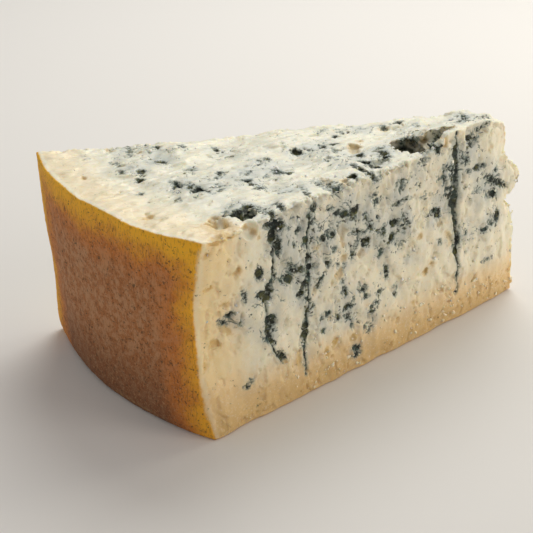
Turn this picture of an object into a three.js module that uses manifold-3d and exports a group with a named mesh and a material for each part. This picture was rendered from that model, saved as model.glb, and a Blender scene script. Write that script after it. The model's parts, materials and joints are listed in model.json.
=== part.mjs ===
// A wedge of blue cheese: a sector of a pierced, natural-rinded wheel that was cut in half flat.
// Millimetres, +Z up. It stands on the wheel's flat end. +X runs from the rind to the tip, and the
// face called near is the one on the -Y side. The origin is the bottom centre of the wedge's box.

import * as THREE from "three";
import { ImprovedNoise } from "three/addons/math/ImprovedNoise.js";
import { mergeVertices } from "three/addons/utils/BufferGeometryUtils.js";
import Module from "manifold-3d";

// The wheel and the two cuts. Plan places are measured from the wheel's centre.
const WHEEL_RADIUS = 137.4;
const HEIGHT = 75;
const NEAR_CORNER_ANGLE = THREE.MathUtils.degToRad(215.3);
const FAR_CORNER_ANGLE = THREE.MathUtils.degToRad(170.7);
const CUT_HALF_ANGLE = THREE.MathUtils.degToRad(15.42);

// The rind's lower edge is rounded, and its wall leans in towards the foot at the far corner.
const FOOT_RADIUS = 5;
const FOOT_SHARE = 0.25;
const FAR_WALL_LEAN = 1.4;

// The blunt tip: how far each face runs from its rind corner, at the foot and at the top.
const NEAR_LENGTH_FOOT = 156;
const NEAR_LENGTH_TOP = 148.5;
const FAR_LENGTH_FOOT = 171;
const FAR_LENGTH_TOP = 166;
const TIP_BREAK_HEIGHT = 57;
const TIP_BREAK_BLEND = 5;
const TIP_BEND_LENGTH = 14;
const TIP_BEND = 2.2;
const NOSE = { height: 52, reach: 3.2, spread: 5, farShare: 0.4 };
const NOTCH = { height: 42.5, reach: -6, spread: 3 };

// The near face bows in beside the rind, where the knife wandered.
const NEAR_BOW = 4.8;
const NEAR_BOW_LENGTH = 34;

// The top by the near face: crumbled down beside the rind, and a block left standing by the tip,
// which falls away towards the tip and towards the far face.
const CRUMBLED_EDGE = { from: 4, to: 25, blend: 3, drop: 1.6, width: 9 };
const BLOCK = { from: 113, falls: 124, to: 149, rise: 5.2, width: 24 };

// The level cut dips towards its far edge, from this share of the way along.
const FAR_SAG = 0.9;
const FAR_SAG_START = 1 / 6;

// How rough each surface is, as the height of its bumps and their size.
const CUT_ROUGHNESS = 0.8;
const CUT_BUMP_SIZE = 9;
const TOP_ROUGHNESS = 1.3;
const TOP_BUMP_SIZE = 16;
const RIND_ROUGHNESS = 0.5;
const RIND_BUMP_SIZE = 21;
const TIP_ROUGHNESS_SHARE = 1.6;

// Faces of the grid that is wrapped round the wedge.
const STEPS_ALONG = 46;
const STEPS_ACROSS = 18;
const STEPS_UP = 18;

// Hollows of the ripened paste, each open at the surface it is centred on: place, width, length
// along the wedge, depth, and turn about +Z.
const HOLLOWS = [
  { name: "mould hollow by the tip", at: [-12.5, -40, HEIGHT + 1], size: [13, 9.5, 15], turn: 0.2 },
  { name: "shelf beside it", at: [-1.5, -41, HEIGHT + 1.5], size: [13, 9.5, 9], turn: 0.26 },
  { name: "mould hollow by the edge", at: [-90.2, -65.5, HEIGHT + 0.5], size: [8, 7, 11], turn: 0.6 },
  { name: "chip at the corner", at: [-101, -66.5, HEIGHT], size: [6, 8, 6], turn: 0.3 },
  { name: "chip past the corner", at: [-92.4, -74.2, HEIGHT - 1], size: [6, 8, 10], turn: 0.2 },
  { name: "chip half way along", at: [-61.5, -66, HEIGHT + 0.5], size: [6, 5, 5], turn: 0.5 },
  { name: "pit before the hollow", at: [-30, -48.5, HEIGHT + 1], size: [9, 4.5, 7], turn: -0.3 },
  { name: "pit behind the rind", at: [-96.5, -41.2, HEIGHT + 1], size: [7, 3.6, 6], turn: 0.25 },
  { name: "crack under the nose", at: [40, -36.5, 41.5], size: [10, 10, 4.5], turn: 0 },
];
const HOLLOW_FACETS = 2;
const HOLLOW_UNEVENNESS = 0.16;
const HOLLOW_BUMP_SIZE = 1 / 3;

const wasm = await Module();
wasm.setup();

const noise = new ImprovedNoise();

// Bumps of the given size, each point of space having its own height between about -1 and 1.
function bumps(point, size) {
  const coarse = noise.noise(point.x / size, point.y / size, point.z / size);
  const fine = noise.noise((2.3 * point.x) / size, (2.3 * point.y) / size, (2.3 * point.z) / size);
  return 1.3 * coarse + 0.6 * fine;
}

// 1 at the middle of a stretch and 0 past its spread, with a smooth shoulder.
function hill(distance, spread) {
  return 1 - THREE.MathUtils.smoothstep(Math.abs(distance), 0, spread);
}

function wheelPoint(angle, radius) {
  return new THREE.Vector2(Math.cos(angle), Math.sin(angle)).multiplyScalar(radius);
}

// Each cut runs straight from its corner at the rind towards the tip.
const nearCorner = wheelPoint(NEAR_CORNER_ANGLE, WHEEL_RADIUS);
const farCorner = wheelPoint(FAR_CORNER_ANGLE, WHEEL_RADIUS);
const alongNear = wheelPoint(CUT_HALF_ANGLE, 1);
const alongFar = wheelPoint(-CUT_HALF_ANGLE, 1);
const outOfNear = new THREE.Vector2(alongNear.y, -alongNear.x);
const outOfFar = new THREE.Vector2(-alongFar.y, alongFar.x);

// The rind's radius at a height: a rounded foot under a wall that leans out, more so across.
function rindRadius(z, across) {
  const intoFoot = Math.max(0, FOOT_RADIUS - z);
  const inset = FOOT_RADIUS - Math.sqrt(FOOT_RADIUS ** 2 - intoFoot ** 2);
  return WHEEL_RADIUS - FAR_WALL_LEAN * across * (1 - z / HEIGHT) - FOOT_SHARE * inset;
}

// How far the two faces run at a height, with the break, the nose and the notch of the tip.
function tipLengths(z) {
  const low = TIP_BREAK_HEIGHT - TIP_BREAK_BLEND;
  const high = TIP_BREAK_HEIGHT + TIP_BREAK_BLEND;
  const broken = THREE.MathUtils.smoothstep(z, low, high);
  const nose = NOSE.reach * hill(z - NOSE.height, NOSE.spread);
  const notch = NOTCH.reach * hill(z - NOTCH.height, NOTCH.spread);
  return {
    near: THREE.MathUtils.lerp(NEAR_LENGTH_FOOT, NEAR_LENGTH_TOP, broken) + nose + notch,
    far: THREE.MathUtils.lerp(FAR_LENGTH_FOOT, FAR_LENGTH_TOP, broken) + NOSE.farShare * nose,
  };
}

// How deep the near face bows in at a distance from its rind corner, at a height.
function nearBow(distance, z) {
  return NEAR_BOW * hill(distance, NEAR_BOW_LENGTH) * Math.sin((Math.PI * z) / HEIGHT);
}

// How much lower than the level cut the top lies, at a distance along the near face and inside it.
function crumbledDrop(distance, inset) {
  const { from, to, blend, drop, width } = CRUMBLED_EDGE;
  const starts = THREE.MathUtils.smoothstep(distance, from - blend, from + blend);
  const ends = 1 - THREE.MathUtils.smoothstep(distance, to - blend, to + blend);
  return drop * starts * ends * (1 - THREE.MathUtils.smoothstep(inset, 0, width));
}

// How much higher the standing block is there.
function blockRise(distance, inset) {
  const riser = THREE.MathUtils.smoothstep(distance, BLOCK.from - 2, BLOCK.from + 1);
  const fall = 1 - Math.min(1, Math.max(0, distance - BLOCK.falls) / (BLOCK.to - BLOCK.falls)) ** 1.3;
  return BLOCK.rise * riser * fall * (1 - THREE.MathUtils.smoothstep(inset, 0, BLOCK.width));
}

// A point of the skin: along runs from the rind to the tip, across from the near face to the far
// one, and up from the foot to the top, all from 0 to 1.
function skinPoint(along, across, up) {
  const z = up * HEIGHT;
  const angle = THREE.MathUtils.lerp(NEAR_CORNER_ANGLE, FAR_CORNER_ANGLE, across);
  const rindEnd = wheelPoint(angle, rindRadius(z, across));
  const lengths = tipLengths(z);
  const nearEnd = nearCorner.clone().addScaledVector(alongNear, lengths.near);
  const farEnd = farCorner.clone().addScaledVector(alongFar, lengths.far);
  const tipEnd = nearEnd.lerp(farEnd, across);
  const plan = rindEnd.lerp(tipEnd, along);
  const point = new THREE.Vector3(plan.x, plan.y, z);

  const distance = plan.clone().sub(nearCorner).dot(alongNear);
  const inset = -plan.clone().sub(nearCorner).dot(outOfNear);
  const cutBump = CUT_ROUGHNESS * bumps(point, CUT_BUMP_SIZE);
  const beyondBend = Math.max(0, distance - (lengths.near - TIP_BEND_LENGTH)) / TIP_BEND_LENGTH;
  const offset = new THREE.Vector2();
  if (across === 0) {
    offset.addScaledVector(outOfNear, cutBump - nearBow(distance, z) - TIP_BEND * beyondBend ** 2);
  }
  if (across === 1) {
    offset.addScaledVector(outOfFar, cutBump);
  }
  if (along === 1) {
    offset.x += TIP_ROUGHNESS_SHARE * cutBump;
  }
  if (along === 0) {
    offset.addScaledVector(rindEnd.clone().normalize(), RIND_ROUGHNESS * bumps(point, RIND_BUMP_SIZE));
  }
  point.x += offset.x;
  point.y += offset.y;
  if (up === 1) {
    point.z += TOP_ROUGHNESS * bumps(point, TOP_BUMP_SIZE);
    point.z += blockRise(distance, inset) - crumbledDrop(distance, inset);
    point.z -= FAR_SAG * across ** 2 * Math.min(1, along / FAR_SAG_START);
  }
  return point;
}

// The geometry with only its positions, and the vertices that meet made one.
function closedGeometry(geometry) {
  geometry.deleteAttribute("normal");
  geometry.deleteAttribute("uv");
  return mergeVertices(geometry, 1e-4);
}

function solidOf(geometry) {
  const vertProperties = new Float32Array(geometry.getAttribute("position").array);
  const triVerts = new Uint32Array(geometry.index.array);
  return new wasm.Manifold(new wasm.Mesh({ numProp: 3, vertProperties, triVerts }));
}

// The whole wedge, as a block of little faces wrapped onto the skin.
function wedgeSolid() {
  const geometry = new THREE.BoxGeometry(1, 1, 1, STEPS_ALONG, STEPS_ACROSS, STEPS_UP);
  const position = geometry.getAttribute("position");
  const grid = new THREE.Vector3();
  for (let i = 0; i < position.count; i += 1) {
    grid.fromBufferAttribute(position, i).addScalar(0.5);
    const point = skinPoint(grid.x, grid.y, grid.z);
    position.setXYZ(i, point.x, point.y, point.z);
  }
  return solidOf(closedGeometry(geometry));
}

// An uneven rounded blob, which leaves a hollow where it is cut away.
function hollowSolid(hollow) {
  const geometry = closedGeometry(new THREE.IcosahedronGeometry(0.5, HOLLOW_FACETS));
  const position = geometry.getAttribute("position");
  const seed = new THREE.Vector3(...hollow.at);
  const point = new THREE.Vector3();
  for (let i = 0; i < position.count; i += 1) {
    point.fromBufferAttribute(position, i);
    point.multiplyScalar(1 + HOLLOW_UNEVENNESS * bumps(point.clone().add(seed), HOLLOW_BUMP_SIZE));
    position.setXYZ(i, point.x, point.y, point.z);
  }
  geometry.scale(...hollow.size).rotateZ(hollow.turn).translate(...hollow.at);
  return solidOf(geometry);
}

function geometryOf(solid) {
  const mesh = solid.getMesh();
  const geometry = new THREE.BufferGeometry();
  geometry.setAttribute("position", new THREE.BufferAttribute(mesh.vertProperties, 3));
  geometry.setIndex(new THREE.BufferAttribute(mesh.triVerts, 1));
  return geometry;
}

function cheeseWedge() {
  let solid = wedgeSolid();
  for (const hollow of HOLLOWS) {
    solid = solid.subtract(hollowSolid(hollow));
  }
  const geometry = geometryOf(solid);
  geometry.computeBoundingBox();
  const centre = geometry.boundingBox.getCenter(new THREE.Vector3());
  geometry.translate(-centre.x, -centre.y, -geometry.boundingBox.min.z);
  geometry.computeVertexNormals();
  const paste = new THREE.MeshStandardMaterial({ color: 0xe6dcb9, roughness: 0.55, metalness: 0 });
  const wedge = new THREE.Mesh(geometry, paste);
  wedge.name = "cheese_wedge";
  return wedge;
}

const part = new THREE.Group();
part.add(cheeseWedge());

export default part;
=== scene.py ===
"""The looks of the blue cheese wedge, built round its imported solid."""

import json
import math
from collections import namedtuple
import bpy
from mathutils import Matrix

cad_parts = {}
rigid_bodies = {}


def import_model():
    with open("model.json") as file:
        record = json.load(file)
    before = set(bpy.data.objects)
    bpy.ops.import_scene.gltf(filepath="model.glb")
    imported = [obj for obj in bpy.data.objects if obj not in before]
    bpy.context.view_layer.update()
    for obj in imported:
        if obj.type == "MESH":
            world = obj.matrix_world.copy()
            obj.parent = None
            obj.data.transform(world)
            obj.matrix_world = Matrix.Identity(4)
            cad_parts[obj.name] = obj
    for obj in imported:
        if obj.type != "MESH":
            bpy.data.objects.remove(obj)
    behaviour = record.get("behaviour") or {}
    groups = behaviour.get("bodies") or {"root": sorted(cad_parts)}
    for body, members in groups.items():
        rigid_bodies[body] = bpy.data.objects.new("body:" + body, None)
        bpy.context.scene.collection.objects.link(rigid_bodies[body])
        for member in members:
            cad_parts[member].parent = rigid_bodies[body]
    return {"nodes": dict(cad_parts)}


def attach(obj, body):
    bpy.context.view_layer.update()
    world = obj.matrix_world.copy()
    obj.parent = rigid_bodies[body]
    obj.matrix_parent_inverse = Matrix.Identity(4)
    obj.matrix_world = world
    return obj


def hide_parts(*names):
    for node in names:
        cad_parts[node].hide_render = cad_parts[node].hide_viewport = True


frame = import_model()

from types import SimpleNamespace

import bpy
import numpy as np
from bpy.props import FloatProperty, FloatVectorProperty, IntProperty, PointerProperty
from mathutils import Euler, Matrix, Vector, noise
from mathutils.bvhtree import BVHTree

bl_info = {
    "name": "Blue cheese wedge",
    "version": (1, 0, 0),
    "blender": (4, 5, 0),
    "location": "View3D > Sidebar > Cheese",
    "description": "Makes a wedge of pierced, natural-rinded blue cheese on a plain stage",
    "category": "Add Mesh",
}

MM = 0.001
NODE = "cheese_wedge"

# The wheel that the wedge is cut from, in the part's frame.
WHEEL_RADIUS = 137.4 * MM
WHEEL_CENTRE = Vector((48.5, 28.15, 0)) * MM
TOP = 75 * MM
NEAR_ANGLE = math.radians(215.3)
FAR_ANGLE = math.radians(170.7)
CUT_HALF_ANGLE = math.radians(15.42)
FAR_WALL_LEAN = 1.4 * MM
FOOT_RADIUS = 5 * MM
FOOT_SHARE = 0.25
NEAR_LENGTH = 156
FAR_LENGTH = 171


def wheel_point(angle):
    return WHEEL_CENTRE + WHEEL_RADIUS * Vector((math.cos(angle), math.sin(angle), 0))


NEAR_CORNER = wheel_point(NEAR_ANGLE)
FAR_CORNER = wheel_point(FAR_ANGLE)
ALONG_NEAR = Vector((math.cos(CUT_HALF_ANGLE), math.sin(CUT_HALF_ANGLE), 0))
ALONG_FAR = Vector((math.cos(CUT_HALF_ANGLE), -math.sin(CUT_HALF_ANGLE), 0))
OUT_OF_NEAR = Vector((ALONG_NEAR.y, -ALONG_NEAR.x, 0))
OUT_OF_FAR = Vector((-ALONG_FAR.y, ALONG_FAR.x, 0))


# The marks are in millimetres. On the near face, the first two are along it from the rind corner and up.
# Each spot of mould: along, height, width and tall, then how ripe in percent where that isn't 100, and its
# lean in degrees where it has one.
NEAR_SPOTS = [
    # beside the first needle track
    (31.5, 71, 4.5, 4), (29.5, 68, 4, 5), (31.6, 64, 2.2, 4.5), (28, 72.5, 2.6, 2.2, 80),
    (30, 74.8, 1.4, 1.2, 80), (31.6, 61, 2, 1.6, 80), (36, 69, 1.2, 1.6, 70), (29.8, 52.8, 1.6, 1.8, 90),
    (23.8, 55.6, 1.7, 3.6, 95), (18.2, 49, 1.4, 3, 75), (24.5, 47.3, 3.8, 2, 100, -30),
    (26.6, 45.8, 3.2, 2.6, 100, -30), (28.2, 48.7, 1.8, 2.8, 90), (28, 36.2, 3.8, 4),
    (26.6, 34, 2.2, 2.6, 90), (28.4, 33, 1.8, 1.3, 80), (27, 29.4, 1.7, 4, 95, 28),
    (31.5, 21.2, 2.2, 4.8, 90, 28), (12.5, 43.9, 2.4, 1.8, 90), (9.8, 41, 2.8, 1.1, 80, -40),
    (16.4, 39.2, 1.2, 1.8, 70), (17.3, 14.3, 2.4, 1.3, 60), (19, 16.4, 1.1, 1.1, 70),
    # between the first and second tracks, and beside the second
    (33.2, 50.2, 2, 2.2), (36, 49.3, 4, 2.2, 100, -35), (40.6, 51.2, 4.6, 1.7, 100, -12),
    (37.8, 54, 2.6, 1.5, 80), (36, 56, 1.1, 2.2, 70), (38.6, 62, 1.4, 1.4, 70),
    (41.2, 66.2, 2.4, 1.8, 90, 10), (47.5, 72, 3.6, 3.6, 80), (46.4, 67.6, 1.6, 1.7, 95),
    (44.2, 60.8, 1.6, 2.6, 85), (45.6, 53.6, 2, 2.8, 90), (46, 50.5, 1.6, 2.2, 80), (48, 50, 1.3, 1.3, 70),
    (45, 47.6, 1.3, 3.6), (43.6, 45, 2.4, 2.8), (41.5, 41.6, 2.8, 2), (43.8, 39.2, 2.6, 1.9, 100, -40),
    (49.6, 42.4, 1.9, 2.2, 95), (50.8, 44.4, 1.7, 1.9, 85), (43, 28.2, 2.8, 2.6, 95), (43.4, 25, 2.3, 2.8),
    (42.8, 21, 1.5, 2.4, 90), (42.7, 12.6, 1.1, 1.8, 70), (46.8, 34.8, 1.5, 1.5, 80),
    (50.8, 28.8, 1.3, 1.3, 90), (53.2, 29.4, 2.2, 1.5, 90), (51.2, 23.3, 1.9, 1.9, 90),
    # the middle of the face
    (52.4, 59.4, 2.4, 1.7, 85), (55.5, 60, 4, 1.9, 90, -10), (57.2, 59, 1.9, 1.7, 90),
    (54, 57.2, 1.1, 2.6, 70), (55.5, 69.3, 2.2, 1.5, 85, -15), (59.4, 66.4, 2.2, 1.9, 75),
    (62.8, 64.8, 2.8, 2, 100, -20), (65.4, 63.7, 3.8, 1.9, 100, -40), (67.5, 65, 3.2, 2.7, 90, -30),
    (72, 60.9, 1.6, 1.6, 85), (73.5, 58.2, 1.4, 5, 80, 40), (74.8, 56, 1.7, 1.3, 95),
    (77.8, 58.6, 1.3, 1.3, 75), (68.5, 56.3, 4.8, 1.3, 80, -25), (72, 51.4, 3.6, 2, 100, -35),
    (73.6, 50, 2.8, 2.6), (67.5, 51, 2.6, 1.3, 75, 25), (66.2, 46.8, 1.2, 2.8, 80), (57, 53.6, 2.2, 1.5, 80),
    (54, 49, 2.3, 2.4, 95), (58.8, 46.4, 1.6, 1.3, 70), (62.2, 44.8, 1.3, 2.2, 70),
    (60.8, 39.4, 2, 1.2, 85, -20), (61.5, 35.6, 1.7, 2, 90), (62.7, 34.6, 1.3, 2.2, 85),
    (69.5, 33, 1.2, 2.6, 70), (71.6, 32, 2.6, 1.3, 65), (72.8, 29, 2.6, 1.5, 75),
    (63.4, 28, 2.8, 1.5, 80, 10), (58.9, 26, 1.3, 2.2, 75), (64.2, 22.8, 3.6, 1.1, 90, -45),
    (66, 20, 1.1, 3, 75, 10), (67.2, 9.4, 2.2, 1.5), (68.9, 7.8, 1.7, 2.8), (67.8, 6.4, 2.4, 1, 90),
    (79.6, 28.2, 2.2, 1.7, 85), (78.3, 24.4, 2.2, 1.3, 80, -25), (75.6, 21.4, 1.7, 1.3, 75),
    (73.6, 15.6, 3.4, 3.4, 65), (88, 23.8, 2, 2, 75), (88.6, 26.8, 2.6, 2, 60), (83.4, 34.8, 1.8, 3.8),
    (80.9, 43, 1.5, 2.4, 90), (81, 52.6, 1.7, 3.2, 90), (85.2, 48, 2.8, 3.2, 95), (83.4, 47, 1.8, 1.4, 80),
    (88.4, 45.2, 1.6, 2.2, 85, 20), (87.5, 53, 3.6, 2, 80, -10), (90.8, 54.6, 1.6, 3.2, 85),
    (90.6, 51.4, 2.8, 1.9, 85), (94.2, 51.8, 2, 1.4, 75), (92.3, 48.6, 1.7, 1.9, 85), (91, 61, 6, 1.3, 75),
    (89, 69, 3.4, 2, 60), (90.5, 66.8, 1.4, 1.8, 70), (78.7, 64.5, 2.8, 1.9, 70, -20),
    (76.8, 67.6, 2.2, 1.4, 60), (76.2, 75, 1.9, 3, 95), (78, 73.6, 2, 1.1, 85), (60, 75, 2.6, 1.2, 80),
    # beside the third track, and on to the tip
    (109.8, 74.8, 2.2, 2.6, 95), (102.4, 72.4, 3.2, 1.5, 65), (103, 58.4, 3.4, 1.6, 50),
    (118.6, 70.8, 1.9, 2.4), (119, 66, 2.4, 2.8), (117.2, 64.8, 3.2, 2.2), (116, 66.7, 2.6, 1.4, 85),
    (118.8, 62.2, 2, 4.2), (116.8, 61.4, 2.6, 2.6, 90), (113.4, 66.8, 1.8, 1.6, 70),
    (112.6, 61.8, 1.5, 2.8, 75), (116.6, 54.8, 2.2, 2.4, 95), (117.2, 57.6, 3, 2, 80),
    (119.4, 52.4, 2, 4, 95), (111, 48.8, 2.5, 3.8, 95, 20), (108.5, 50.8, 3.6, 1.4, 80, -10),
    (111.2, 37.4, 1.6, 2, 75), (127.8, 72, 2.8, 2.2), (126.8, 74.6, 3.6, 2, 85), (130, 73, 2.2, 1.7, 85),
    (123, 67.8, 2.8, 1.6, 85, -10), (124.8, 65.6, 2.6, 1.6, 95, -15), (126.5, 61.4, 2.6, 1.2, 70),
    (131.2, 61.6, 2.8, 1.7, 100, -15), (134.4, 61.4, 1.8, 1.8, 90), (140, 53.6, 2.6, 2, 90, -30),
    (145, 50.6, 9, 1.6, 95, -30), (141.6, 46.9, 3, 2.4, 95, -15), (144.4, 37, 2.3, 4, 100, -12),
    (141, 35.8, 3, 2, 75), (136.8, 33.8, 2.1, 2, 95, -20), (125.8, 36.6, 1.8, 1.8, 70),
    (140, 19.6, 4, 1.5, 55), (132.5, 77, 5, 1.3, 80, 12), (142.4, 57.6, 2.4, 1.8, 90, -30),
    (137, 56, 3.2, 2.4, 60), (131.5, 51.6, 3.6, 1.8, 65, -10),
]

# Pits without mould, where oil has darkened the paste: along, height, width, tall, and a lean if any.
NEAR_PITS = [
    (4.2, 56.8, 3, 2.4), (10.5, 48, 3.6, 2.2), (11, 37.8, 6, 1.9, -50), (6.4, 34, 4.4, 2.4, -30),
    (1.4, 28, 1.6, 3), (15, 59.5, 3.2, 3), (20.6, 73.2, 1.5, 1.8), (22.4, 71.4, 1.3, 2.2, 20),
    (23.6, 69.6, 1.1, 1.6, 10), (5.5, 73.8, 5, 1.8), (11, 74.2, 6, 2, -10), (15.6, 74.8, 4.4, 1.5, 12),
    (49.8, 57, 2.6, 1.8), (47.6, 41, 2.2, 2.8), (62.9, 58.7, 2.4, 1.8, -10), (61.4, 54.6, 1.8, 4.4),
    (62, 48, 3, 3.2), (70.8, 46.5, 3.6, 3), (59.5, 42.5, 3.2, 4.2, 10), (100.4, 43.4, 2.6, 2),
    (107.4, 29.6, 2.6, 1.7, -20), (116.6, 37.4, 2.2, 7, 28), (111.6, 44.6, 3.8, 2.4),
    (52.6, 13.6, 2.4, 4, 20), (57, 16, 3.4, 4), (66.6, 14.4, 3, 3.2), (97.8, 16.6, 2.4, 2),
    (40.3, 16, 1.6, 5), (33, 18.6, 1.6, 2.6, 25), (104.4, 27.4, 2.4, 3, 20), (148, 48.6, 5, 1.2, -30),
    (3, 70, 2.6, 1.6, 20), (8.5, 76, 3, 2), (113.6, 77, 1.8, 4),
]

# Broad patches of young, grey-blue mould: along, height, spread and strength.
NEAR_HAZE = [
    (37, 66, 8, 0.8), (48, 62, 8, 0.8), (40, 47, 8, 0.7), (63, 68, 8, 0.7), (72, 56, 9, 0.7),
    (88, 50, 9, 0.9), (16, 42, 6, 0.6), (22, 34, 5, 0.35), (52, 27, 5, 0.6), (64, 26, 6, 0.6),
    (76, 20, 6, 0.6), (90, 66, 7, 0.6), (100, 69, 6, 0.6), (116, 58, 6, 1), (110, 49, 6, 0.6),
    (126, 67, 7, 0.7), (137, 52, 8, 0.9), (126, 35, 7, 0.5), (140, 36, 6, 0.6), (95, 36, 4, 0.5),
    (140, 20, 5, 0.4), (44.5, 34, 3, 0.6), (43, 16, 3, 0.5), (122, 20, 4, 0.5), (120, 34, 4, 0.6),
]

# The needle tracks of the near face: half the width, and the places that it passes from the top down.
NEAR_TRACKS = [
    (0.4, [(30.2, 65), (29.4, 58), (29.0, 51), (26.4, 44), (26.8, 36), (26.6, 30), (28.2, 25), (31.6, 19)]),
    (0.4, [(46.4, 74), (45.2, 66), (44.8, 56), (45.0, 46), (44.6, 36), (43.6, 28), (42.9, 20), (42.7, 9)]),
    (1.1, [(118.8, 73), (119.0, 64), (119.5, 54), (119.6, 46), (120.2, 39), (121.2, 33)]),
    (0.5, [(121.2, 34), (120.6, 28), (121.9, 23), (122.2, 12)]),
    (0.35, [(119.4, 79), (119.0, 70)]),
]

# Spots on the level top: along the part, across it, length and width, then ripeness and turn as above.
TOP_SPOTS = [
    (-46.4, 32, 2.4, 3.4, 100, -20), (-49, 19.3, 2.2, 2.6, 95), (-51, 20.4, 1.4, 1.8, 80),
    (-59.2, 14.4, 2.1, 3.2, 100, -25), (-62.2, 8, 3, 3.2, 85), (-66.2, 16.6, 1.7, 3.4, 80, 10),
    (-64.4, 27.6, 2.2, 4, 65, 15), (-72, 37, 1.3, 3, 50), (-38.5, 26.5, 2, 3.4, 60, -15),
    (-27, 22, 2.2, 3.4, 95), (-43.4, 6.4, 2.4, 3, 65, 20), (-36.2, -3.2, 2, 2.8, 85, -20),
    (-38.8, -6.4, 1.6, 1.6, 65), (-53, -4.5, 2, 5.2, 80, 20), (-50.2, -10, 1.4, 5.4, 80, -15),
    (-48, -12.6, 3.6, 5, 100, -10), (-46.4, -16, 1.6, 1.8, 80), (-41, -12, 3.2, 1.7, 65),
    (-57, -16, 1.8, 2.2, 55), (-66, -3.4, 2.4, 2.6, 55), (-30, -12, 3, 3.2), (-30, -15.6, 1.7, 2.2, 85),
    (-29.5, -20.2, 3, 1.8, 95, 15), (-28.6, -18.6, 1.4, 2, 80), (-17.8, -10, 2.6, 2.2, 100, 35),
    (-17, -11.4, 1.4, 3, 100, 15), (-14.6, -14.2, 2.8, 1.8, 95, 20), (-15.8, 2.2, 1.7, 3.2, 90, -15),
    (-19, 1.6, 1.8, 1.8, 60), (-26.4, -6, 1.6, 2.2, 60), (-21.5, -27.6, 1.8, 1.6, 70),
    (-16.5, -28.5, 1.4, 3, 65), (-44, -35.6, 5.4, 5, 100, -20), (-39.6, -33, 3.8, 2.2, 100, 25),
    (-47, -32.6, 1.4, 2.2, 70, 15), (-34.8, -41, 1.8, 2.6, 90, -15), (-29.6, -39, 1.2, 2.2, 90),
    (-30.4, -35.6, 1.6, 2, 80), (-18, -34.4, 1.6, 2.6, 80), (-2.6, 4.2, 3, 4.2),
    (7.4, 2.8, 1.9, 3.6, 95, -15), (12.4, 2.4, 3, 2.1, 90), (9, -4, 1.6, 3, 70, -30),
    (16.4, 10.2, 2.2, 1.8, 80), (20, 14, 2.2, 4, 50), (15, 17, 4, 2, 50), (29, 12, 3, 3, 60),
    (42.6, 9.4, 3.4, 1.6, 80), (36.4, 8.8, 1.8, 3.6, 60, -15), (15.6, -10.8, 2.4, 3.4, 85, -20),
    (24.6, -9.6, 2.6, 2.4), (23.2, -14.6, 2.8, 4, 85, -20), (22, -18.2, 3.4, 2.5, 95),
    (13.2, -18.6, 4.2, 4, 95), (14.8, -23, 3.4, 3.8, 100, 20), (9.6, -30, 1.9, 5, 95, -25),
    (2.2, -29.6, 2.8, 4, 90, -15), (-6.6, -34.8, 1.8, 1.4, 90), (35, -12, 11, 15, 100, -15),
    (37.4, -20.6, 4.2, 2.6), (45, -13.4, 3, 5.2, 85, -35), (48.5, -10.4, 2.6, 2, 80),
    (66, -1.2, 3.8, 3.8, 95), (68, 1.6, 1.6, 3, 90), (73.2, -5.4, 1.6, 3, 80, -15), (62, 2, 2.4, 3, 60),
    (58, -5, 2, 2.2, 55), (41, -21, 1.6, 3, 95, -25), (46.2, 2, 2, 3, 50, -20),
]

TOP_PITS = [
    (17.4, -3.6, 5, 7.6, -10), (-6.6, -27, 3.2, 7, -10), (-1.6, -31, 3, 3), (8.4, -25, 3, 3.2),
    (42.4, -12, 3.4, 12, -25), (36.2, 7.4, 2.6, 4, -15), (43, 8, 3.4, 2.6), (-70, -22, 3.4, 4),
    (-53.6, 31.6, 2.4, 2.6), (-44.8, 33, 1.6, 2.6), (-52.4, -34.4, 3.6, 5, -15), (-51, -40, 2, 4, -20),
    (-17.8, -36.6, 1.4, 1.6), (-62, 40, 3, 3), (52, -14, 3, 4, -25), (22, 1, 2.6, 2.4), (-79, 19, 2, 3),
    (-55.5, -37, 3, 3.4), (-49, -35, 3, 2, 30),
]

TOP_HAZE = [
    (-50, 25, 8, 0.6), (-64, 20, 7, 0.45), (-50, -4, 8, 0.7), (-46, -14, 7, 0.6), (-30, -8, 10, 0.5),
    (-24, 16, 9, 0.5), (-18, -4, 9, 0.7), (-20, -26, 7, 0.6), (4, 4, 9, 0.7), (6, -12, 9, 0.7),
    (16, -18, 6, 0.5), (29, 13, 6, 0.8), (-2, 20, 8, 0.3), (38, -6, 8, 0.4), (46, 2, 6, 0.4),
    (66, 0, 7, 0.6), (-42, -32, 7, 0.6), (60, -8, 7, 0.5), (-68, 32, 6, 0.35), (22, -12, 6, 0.5),
]

# The far face, which is out of sight, and the tip are given marks of the same kind, by chance.
FAR_TRACKS_ALONG = [34, 61, 96, 131]
FAR_SPOTS, FAR_CLUSTERS, FAR_PITS = 130, 26, 24
TIP_SPOTS, TIP_CLUSTERS = 16, 5
SMALL_SIDE_PITS, SMALL_TOP_PITS = 130, 120
CLUSTER_SPREAD = 4.5
RIND_MARGIN = 10
MARKS_SEED, CRUMBS_SEED = 7, 11

# How the mesh is worked.
MERGE_GAP = 0.002 * MM
MEND_GAP = 0.003 * MM
SHARP_ANGLE = math.radians(40)
SHARP_CREASE = 0.9
OPENINGS_VOXEL = 0.3 * MM
REACH = 15 * MM
FAR_AWAY = 1e3

# Ripe mould is hollow, and nothing is cut too near the rind or the base. A cut is sought from RAY_START
# millimetres outside a face.
HOLLOW_STRENGTH = 0.75
LEAST_COVER = 2.2 * MM
LEAST_HEIGHT = 2 * MM
RAY_START = 12

# Finishes that aren't settings.
FINE_GRAIN = (1, 1, 0.94)
PASTE_BY_RIND = (1, 0.93, 0.80)
CRUMB_WHITE = (0.95, 0.92, 0.82)
RIND_ROUGHNESS = 0.85

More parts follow.
